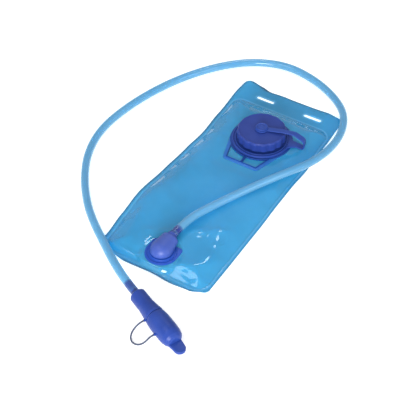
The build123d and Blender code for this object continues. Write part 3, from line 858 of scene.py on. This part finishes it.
def trapezoid(corner):
    """The handle's outline, relative to the neck."""
    return [(-HANDLE_HALF_TOP, -HANDLE_TOP), (-HANDLE_HALF_LOW, 0.3 - HANDLE_REACH, corner),
            (HANDLE_HALF_LOW, 0.3 - HANDLE_REACH, corner), (HANDLE_HALF_TOP, -HANDLE_TOP)]


def window_outline(side, inset):
    """One of the handle's two windows, between its rib, bar, leg and the neck's flange."""
    rib = 1.2 + inset
    bottom = 0.3 - HANDLE_REACH
    low = bottom + HANDLE_BAR + inset
    arc_radius = FLANGE_R + 0.6 + inset
    slope = (HANDLE_HALF_TOP - HANDLE_HALF_LOW) / (HANDLE_REACH - HANDLE_TOP)
    inner = HANDLE_HALF_LOW - HANDLE_LEG * (HANDLE_BAR + inset)
    heights = np.linspace(low, -HANDLE_TOP, 60)
    edge = inner + slope * (heights - bottom)
    meet = int(np.argmax(np.hypot(edge, heights) < arc_radius))
    start = math.atan2(heights[meet], edge[meet])
    stop = -math.acos(rib / arc_radius)
    points = [(rib, low), (edge[0], low)] + arc_points(arc_radius, start, stop, 14)
    return [(side * x, y) for x, y in points]


def make_handle(clear, dark):
    r = FLANGE_R - 0.4
    outer = rounded(trapezoid(6.0)).tolist()
    start = math.atan2(-HANDLE_TOP, HANDLE_HALF_TOP)
    outline = [p for p in outer if p[1] < -HANDLE_TOP - 0.5] + arc_points(r, start, -math.pi - start, 40)
    bars = plate("handle_bars", [outline, window_outline(1, 0), window_outline(-1, 0)],
                 FILM_TOP + 0.02, FILM_TOP + 1.15, 0.25, clear)
    # The thin walls round the two windows are made in the darker neck plastic: painted shade for the shadow inside
    # each window's raised rim.
    walls = [plate("handle_rim_painted_shade", [window_outline(side, -0.8), window_outline(side, 0.0)],
                   FILM_TOP + 0.1, FILM_TOP + 2.2, 0.2, dark) for side in (1, -1)]
    piece = smooth_by_angle(joined("finger_handle", [bars] + walls), 40)
    moved(piece, NECK_X, NECK_Y)
    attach(piece, "bladder")
    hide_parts("fill_handle")


def make_ring(material):
    low, high = RING_LOW + 0.02, RING_HIGH
    outline = rounded([
        (26.6, low), (36.9, low, 0.4), (36.9, high - 1.3, 0.4), (36.3, high - 1.2, 0.2), (36.2, high, 0.4),
        (35.0, high, 0.4), (34.8, high - 1.6, 0.3), (33.3, high - 1.6, 0.3), (33.1, high, 0.4),
        (31.9, high, 0.4), (31.7, high - 1.6, 0.3), (26.6, high - 1.6, 0.3)])
    ring = turned("ring_body", outline, material)
    ear_low = low + 0.3
    outline = rounded([(34.2, -11.0), (39.0, -6.5, 3.0), (45.3, -4.4, 0.5), (45.3, 4.4, 0.5), (39.0, 6.5, 3.0),
                       (34.2, 11.0)])
    ear = plate("ring_ear", [outline], ear_low, ear_low + 1.7, 0.4, material)
    piece = smooth_by_angle(joined("tether_ring_and_ear", [ring, ear]))
    moved(piece, NECK_X, NECK_Y, turn=STRAP_ANGLE)
    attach(piece, "bladder")
    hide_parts("tether_ring")


def rounded_strip(width, thick):
    """A strap's section: flat faces and rounded edges."""
    half, edge = width / 2, thick / 2
    right = arc_points(edge, -math.pi / 2, math.pi / 2, 7, half - edge)
    steps = np.linspace(half - edge, -half + edge, 8)[1:-1]
    top = [(s, edge) for s in steps]
    left = [(-x, -y) for x, y in right]
    under = [(-s, -edge) for s in steps]
    return np.array(right + top + left + under)


def make_strap(material):
    thick = 1.6
    top = EYE_LOW + thick / 2
    low = (RING_LOW + RING_HIGH) / 2
    reach = 56.0 - thick / 2
    line = rounded([(8.2, top), (27.0, top + 1.7, 14.0), (42.0, top + 1.7, 10.0), (reach + 0.2, top - 6.4, 7.0),
                    (reach, low - 2.6, 8.5), (44.9, low)], closed=False, steps=14)
    lengths = arc_lengths(line)
    even = np.linspace(0, lengths[-1], 90)
    line = np.stack([np.interp(even, lengths, line[:, i]) for i in range(2)], 1)
    points = np.stack([line[:, 0], np.zeros(len(line)), line[:, 1]], 1)
    widths = eased(even / even[-1], [(0, 7.2), (0.35, 7.0), (0.6, 8.6), (0.8, 9.2), (1, 8.6)])
    sections = [rounded_strip(w, thick) for w in widths]
    piece = swept("cap_strap", points, sections, material)
    smooth_by_angle(piece, 50)
    moved(piece, NECK_X, NECK_Y, turn=STRAP_ANGLE)
    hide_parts("tether_strap")

    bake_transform(piece)


def make_eye_and_button(material):
    eye = turned("strap_end_eye", rounded([
        (4.4, EYE_LOW), (8.55, EYE_LOW, 0.4), (8.55, EYE_HIGH, 0.6), (4.4, EYE_HIGH, 0.3)]), material, 64)
    moved(eye, NECK_X, NECK_Y)
    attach(eye, "eye")
    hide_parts("strap_eye")
    head = BUTTON_HIGH - 1.6
    button = turned("cap_rivet", rounded([
        (0, CAP_HIGH - 3.0), (2.0, CAP_HIGH - 3.0), (2.0, CAP_HIGH), (4.0, CAP_HIGH), (4.0, head, 0.2),
        (7.45, head, 0.3), (7.45, BUTTON_HIGH - 0.3, 0.7), (6.7, BUTTON_HIGH, 0.3), (6.0, BUTTON_HIGH, 0.3),
        (5.6, BUTTON_HIGH - 0.6, 0.2), (3.2, BUTTON_HIGH - 0.6, 0.2), (2.9, BUTTON_HIGH - 0.2, 0.3),
        (1.4, BUTTON_HIGH - 0.2, 0.2), (1.1, BUTTON_HIGH - 0.5, 0.2), (0, BUTTON_HIGH - 0.5)], closed=False),
        material, 64, closed=False)
    smooth_by_angle(button, 50)
    moved(button, NECK_X, NECK_Y)
    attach(button, "cap")
    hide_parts("cap_button")


def make_cap(material):
    radius = 30.9
    outline = rounded([
        (28.2, CAP_LOW, 0.3), (radius, CAP_LOW, 0.5), (radius, CAP_HIGH - 1.7, 0.7), (29.3, CAP_HIGH, 0.7),
        (27.9, CAP_HIGH, 0.4), (27.2, CAP_HIGH - 0.45, 0.4), (2.05, CAP_HIGH - 0.45),
        (2.05, CAP_HIGH - 2.5), (28.2, CAP_HIGH - 2.5, 0.8)])
    depth = 1.15

    def scalloped(index, at_radius, angles):
        wave = (0.5 + 0.5 * np.cos(SCALLOPS * angles)) ** 1.6
        share = np.clip((at_radius - 28.6) / 1.6, 0, 1)
        on_wall = 1.0 if outline[index][1] > CAP_LOW + 0.3 or at_radius > 30 else 0.0
        return at_radius - depth * wave * share * on_wall

    body = turned("screw_cap_body", outline, material, 256, shape=scalloped)
    ridge = helix_ridge("cap_thread", 28.4, 26.75, THREAD_START + THREAD_LEAD / 2, 0.9, THREAD_LEAD, material)
    piece = smooth_by_angle(joined("scalloped_cap", [body, ridge]), 50)
    moved(piece, NECK_X, NECK_Y)
    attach(piece, "cap")
    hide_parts("screw_cap")


# ---------------------------------------------------------------- outlet

ELBOW_ANGLE = -2.0
ELBOW_REACH = 23.0
ELBOW_BODY = 18.6
DOME_R = 13.4
ELBOW_EDGE = 2.2
ELBOW_Z = HOSE_ROUTE[0][2] / MM


def make_outlet_flange(material):
    r = 19.7
    outline = arc_points(r, math.pi, 2 * math.pi, 40)
    outline += rounded([(r, 4.0), (r, 16.1, 5.0), (-r, 16.1, 5.0), (-r, 4.0)], closed=False)[1:-1].tolist()
    outlines = [outline, round_outline(0, 0, 6.0)]
    base = plate("outlet_plate", outlines, FILM_TOP + 0.02, FILM_TOP + 1.3, 0.45, material)
    rings = turned("outlet_boss", rounded([
        (6.0, FILM_TOP + 0.6), (18.3, FILM_TOP + 0.6), (18.1, FILM_TOP + 1.8, 0.3), (17.2, FILM_TOP + 1.8, 0.3),
        (17.0, FILM_TOP + 1.0, 0.2), (15.7, FILM_TOP + 1.0, 0.2), (15.5, FILM_TOP + 2.2, 0.3),
        (14.6, FILM_TOP + 2.2, 0.3), (14.3, OUTLET_BOSS, 0.5), (6.0, OUTLET_BOSS)]),
        material)
    piece = smooth_by_angle(joined("outlet_base", [base, rings]), 45)
    moved(piece, OUTLET_X, OUTLET_Y)
    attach(piece, "bladder")
    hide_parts("outlet_flange")


def barb(name, root, crest, length, starts, material):
    """A barbed tail along +Z: tapered rings at their starts and a tapered tip on a plain tube."""
    outline = [(2.0, 0), (root, 0), (root, 2.2)]
    for start in starts:
        outline += [(crest, start, 0.15), (crest, start + 0.9, 0.3), (root, start + 4.4, 0.6)]
    outline += [(root, length - 4.6), (crest, length - 4.4, 0.2), (crest, length - 3.4, 0.4),
                (root - 0.3, length, 0.4), (2.0, length)]
    return turned(name, rounded(outline), material, 48)


def elbow_rings(base, top):
    """Closed rings of the elbow's egg-shaped body, from its round back to its end at the collar."""
    back = -DOME_R * np.cos(np.linspace(0.03, math.pi / 2, 26))
    turn = np.linspace(0.2, math.pi / 2, 7)
    edge = ELBOW_BODY - ELBOW_EDGE
    front = np.concatenate([np.linspace(0.6, edge, 24), ELBOW_BODY - ELBOW_EDGE * (1 - np.sin(turn))])
    rings = []
    for y in np.concatenate([back, front]):
        behind = math.sqrt(max(1 - (min(y, 0) / DOME_R) ** 2, 1e-4))
        past = max(y - ELBOW_BODY + ELBOW_EDGE, 0) / ELBOW_EDGE
        ahead = 0.83 + 0.17 * math.sqrt(max(1 - past ** 2, 0))
        half_width = behind * ahead * float(eased(y, [(-1, DOME_R), (ELBOW_BODY, 10.6)]))
        centre = float(eased(y, [(0, base + 1.9), (ELBOW_BODY, ELBOW_Z - 1.2)]))
        rise = (top - centre) * behind * ahead * float(eased(y, [(4, 1.0), (ELBOW_BODY, 0.93)]))
        drop = (centre - base) * (0.35 + 0.65 * behind) * ahead
        ring = []
        for a in np.linspace(0, 2 * math.pi, 72, endpoint=False):
            c, s = math.cos(a), math.sin(a)
            power = 0.94 if s >= 0 else 0.6
            ring.append((half_width * math.copysign(abs(c) ** power, c), y,
                         centre + (rise if s >= 0 else drop) * math.copysign(abs(s) ** power, s)))
        rings.append(ring)
    return rings


def make_elbow(material):
    base = OUTLET_BOSS + 0.3
    rings = elbow_rings(base, DOME_HIGH)
    count = len(rings[0])
    vertices = [v for ring in rings for v in ring]
    faces = ring_faces(len(rings), count) + end_faces(len(rings), count)
    dome = add_piece("elbow_dome", vertices, faces, material)
    collar = turned("elbow_collar", rounded([
        (2.0, ELBOW_BODY - 2), (5.2, ELBOW_BODY - 2), (5.2, ELBOW_BODY + 0.5, 0.2), (6.2, ELBOW_BODY + 0.7, 0.2),
        (6.2, ELBOW_BODY + 1.6, 0.2), (5.1, ELBOW_BODY + 1.9, 0.2), (5.1, ELBOW_BODY + 2.4, 0.2),
        (5.9, ELBOW_BODY + 2.6, 0.2), (5.9, ELBOW_BODY + 3.4, 0.2), (5.1, ELBOW_BODY + 3.7, 0.2),
        (5.1, ELBOW_REACH - 0.05, 0.2), (2.0, ELBOW_REACH - 0.05)]), material, 64)
    tail = barb("elbow_barb", 2.8, 3.25, 12.0, (2.6,), material)
    tail.data.transform(Matrix.Translation((0, 0, (ELBOW_REACH - 0.1) * MM)))
    for part in (collar, tail):
        part.data.transform(Matrix.Translation((0, 0, ELBOW_Z * MM)) @ Matrix.Rotation(-math.pi / 2, 4, "X"))
    stem = turned("elbow_stem", rounded([
        (3.5, base + 0.5), (5.7, base + 0.5), (5.7, 7.3), (6.8, 7.3, 0.3), (6.0, 5.9, 0.3), (3.5, 5.9)]), material, 64)
    piece = smooth_by_angle(joined("domed_elbow", [dome, collar, tail, stem]), 55)
    moved(piece, OUTLET_X, OUTLET_Y, turn=ELBOW_ANGLE)
    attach(piece, "elbow")
    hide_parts("outlet_elbow")


# ---------------------------------------------------------------- bite valve

GRIP_LENGTH = 37.5
SPIGOT_END = 45.5
COVER_END = 78.5
TAB_END = 93.5


def on_valve(piece):
    """Lays a piece modelled along Z, with its X down, on the valve's axis."""
    piece.data.transform(
        Matrix.Translation(VALVE_START * MM) @ Matrix.Rotation(math.radians(VALVE_ANGLE), 4, "Z")
        @ Matrix.Rotation(math.pi / 2, 4, "Y"))
    return piece


def side_lug(name, distance, radius, material):
    outline = rounded([(0, 0), (1.5, 0), (1.5, 3.0, 0.4), (0, 3.0)], closed=False)
    lug = turned(name, outline, material, 24, closed=False)
    lug.data.transform(
        Matrix.Rotation(-math.pi / 2, 4, "Z") @ Matrix.Translation(((radius - 1.0) * MM, 0, distance * MM))
        @ Matrix.Rotation(math.pi / 2, 4, "Y"))
    return lug


def make_valve_barb(material):
    tail = barb("connector_tail", 2.9, 3.48, 21.0, (2.6, 8.6), material)
    tail.data.transform(Matrix.Rotation(math.pi, 4, "X"))
    outline = rounded([(2.0, -0.5), (5.1, -0.2, 0.2), (5.1, 17.8, 0.4), (2.0, 17.8)])
    plug = turned("connector_plug", outline, material, 48)
    piece = on_valve(smooth_by_angle(joined("hose_connector", [tail, plug]), 50))
    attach(piece, "bladder")
    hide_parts("valve_barb")
    return piece


def make_grip(material):
    body = turned("grip_body", rounded([
        (5.2, 0), (8.2, 0, 0.5), (9.3, 1.4, 0.9), (9.35, 10.0, 9.0), (9.35, 19.0, 8.0), (10.7, 30.0, 6.0),
        (11.4, 34.0, 2.0), (11.45, GRIP_LENGTH - 0.3, 0.6), (10.25, GRIP_LENGTH - 0.1, 0.2), (10.2, SPIGOT_END, 0.6),
        (4.6, SPIGOT_END, 0.3), (4.6, SPIGOT_END + 7.0, 0.5), (2.0, SPIGOT_END + 7.0), (2.0, 18.0), (5.2, 18.0)]),
        material, 96)
    lug = side_lug("grip_lug", 35.5, 11.3, material)
    piece = on_valve(smooth_by_angle(joined("valve_grip_body", [body, lug]), 45))
    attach(piece, "bladder")
    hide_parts("valve_grip")
    return piece


def make_nipple(material):
    low = SPIGOT_END + 0.05
    high = low + 21.4
    body = turned("nipple_body", rounded([
        (4.65, low), (8.6, low, 0.5), (8.6, low + 3, 0.8), (7.3, low + 5.0, 2.0), (7.3, high - 6, 4.0),
        (4.6, high - 0.3, 2.5), (0, high), (0, high - 2.4), (4.0, high - 5.4, 1.0)]), material, 72)

    def slit(index):
        cutter = prism("slit", [(-0.2, -4.5), (0.2, -4.5), (0.2, 4.5), (-0.2, 4.5)], high - 5.0, high + 2, material)
        cutter.data.transform(Matrix.Rotation(index * math.pi / 2, 4, "Z"))
        return cutter

    for cutter in (slit(0), slit(1)):
        cut_away(body, [cutter])
        bpy.data.objects.remove(cutter)
    body.name = "soft_bite_nipple"
    piece = on_valve(smooth_by_angle(body, 40))
    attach(piece, "bladder")
    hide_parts("bite_nipple")
    return piece


def make_cover(material):
    low = GRIP_LENGTH + 0.6
    outline = rounded([
        (10.5, low), (11.6, low, 0.6), (12.1, low + 3.0, 3.0), (12.55, low + 9, 6.0), (12.55, low + 25, 9.0),
        (12.1, low + 31.5, 6.0), (10.9, COVER_END - 4.2, 3.2), (8.6, COVER_END - 1.3, 1.8), (5.5, COVER_END, 2.0),
        (0, COVER_END - 0.2), (0, COVER_END - 4), (6.2, COVER_END - 6.0, 2.0), (10.5, low + 28, 3.0)])

    def lobed(index, radius, angles):
        height = outline[index][1]
        if radius < 3 or (radius <= 10.51 and index > len(outline) - 14):
            return np.full_like(angles, radius)
        share = np.clip((height - (low + 30)) / (COVER_END - low - 32), 0, 1)
        return radius * (1 - 0.13 * share * (0.5 - 0.5 * np.cos(2 * angles + math.pi)))

    body = turned("cover_body", outline, material, 120, shape=lobed)
    half = [(8.4, COVER_END - 8.0), (8.1, COVER_END - 3.0), (7.4, COVER_END + 1.0), (6.9, COVER_END + 5.0)]
    tab_outline = half + arc_points(6.7, 0, math.pi, 15, y=TAB_END - 6.8) + [(-x, y) for x, y in reversed(half)]
    dent = [(3.2 * c, TAB_END - 7.6 + 2.4 * s) for c, s in circle(1.0, 28)]
    tab = joined("cover_tab", [
        plate("tab_plate", [tab_outline], -1.9, 1.3, 0.8, material),
        plate("tab_rim", [tab_outline, dent], 0.4, 1.9, 0.6, material)])
    tab.data.transform(
        Matrix.Translation((0.0032, 0, 0)) @ Matrix.Rotation(math.pi / 2, 4, "Z")
        @ Matrix.Rotation(math.pi / 2, 4, "X"))
    lug = side_lug("cover_lug", 58.0, 12.6, material)
    piece = on_valve(smooth_by_angle(joined("dust_cover_shell", [body, tab, lug]), 50))
    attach(piece, "cover")
    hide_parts("dust_cover")
    return piece


# ---------------------------------------------------------------- the scene

place_camera()
light_the_scene()
lay_floor()

clear_hose = hose_plastic()
slate_cord = soft_rubber("slate_cord", (0.035, 0.047, 0.085), (0.055, 0.070, 0.115), 0.5)
hose, hose_path = make_hose(clear_hose)
tether, tether_path = make_tether(slate_cord)

blue_film = film_plastic()
make_films(blue_film)

cap_plastic = moulded_plastic("cap_plastic", (0.016, 0.038, 0.220), (0.021, 0.047, 0.256), 0.46)
neck_plastic = moulded_plastic("neck_plastic", (0.008, 0.042, 0.230), (0.012, 0.055, 0.275), 0.34)
handle_plastic = moulded_plastic("handle_plastic", (0.016, 0.110, 0.400), (0.025, 0.140, 0.460), 0.34)
strap_plastic = moulded_plastic("strap_plastic", (0.017, 0.048, 0.260), (0.023, 0.060, 0.300), 0.40)
plate_plastic = moulded_plastic("plate_plastic", (0.012, 0.060, 0.360), (0.020, 0.076, 0.410), 0.34)
outlet_plastic = moulded_plastic("outlet_plastic", (0.036, 0.074, 0.330), (0.046, 0.092, 0.380), 0.42, 0.40)
valve_plastic = moulded_plastic("valve_plastic", (0.014, 0.040, 0.225), (0.019, 0.051, 0.262), 0.36)
seal_rubber = soft_rubber("seal_rubber", (0.020, 0.020, 0.022), (0.035, 0.035, 0.038), 0.6)
silicone = soft_rubber("nipple_silicone", (0.30, 0.48, 0.70), (0.38, 0.56, 0.76), 0.38)

make_neck(neck_plastic)
# The handle's window walls take the darker neck plastic as painted shade; its bars take the handle plastic.
make_handle(handle_plastic, neck_plastic)
make_ring(strap_plastic)
make_strap(strap_plastic)
make_eye_and_button(strap_plastic)
make_cap(cap_plastic)
make_outlet_flange(plate_plastic)
make_elbow(outlet_plastic)

connector = make_valve_barb(valve_plastic)
grip = make_grip(valve_plastic)
nipple = make_nipple(silicone)
cover = make_cover(valve_plastic)

for node in ("cap_gasket", "outlet_o_ring", "valve_o_ring"):
    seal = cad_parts[node]
    seal.data.materials.clear()
    seal.data.materials.append(seal_rubber)
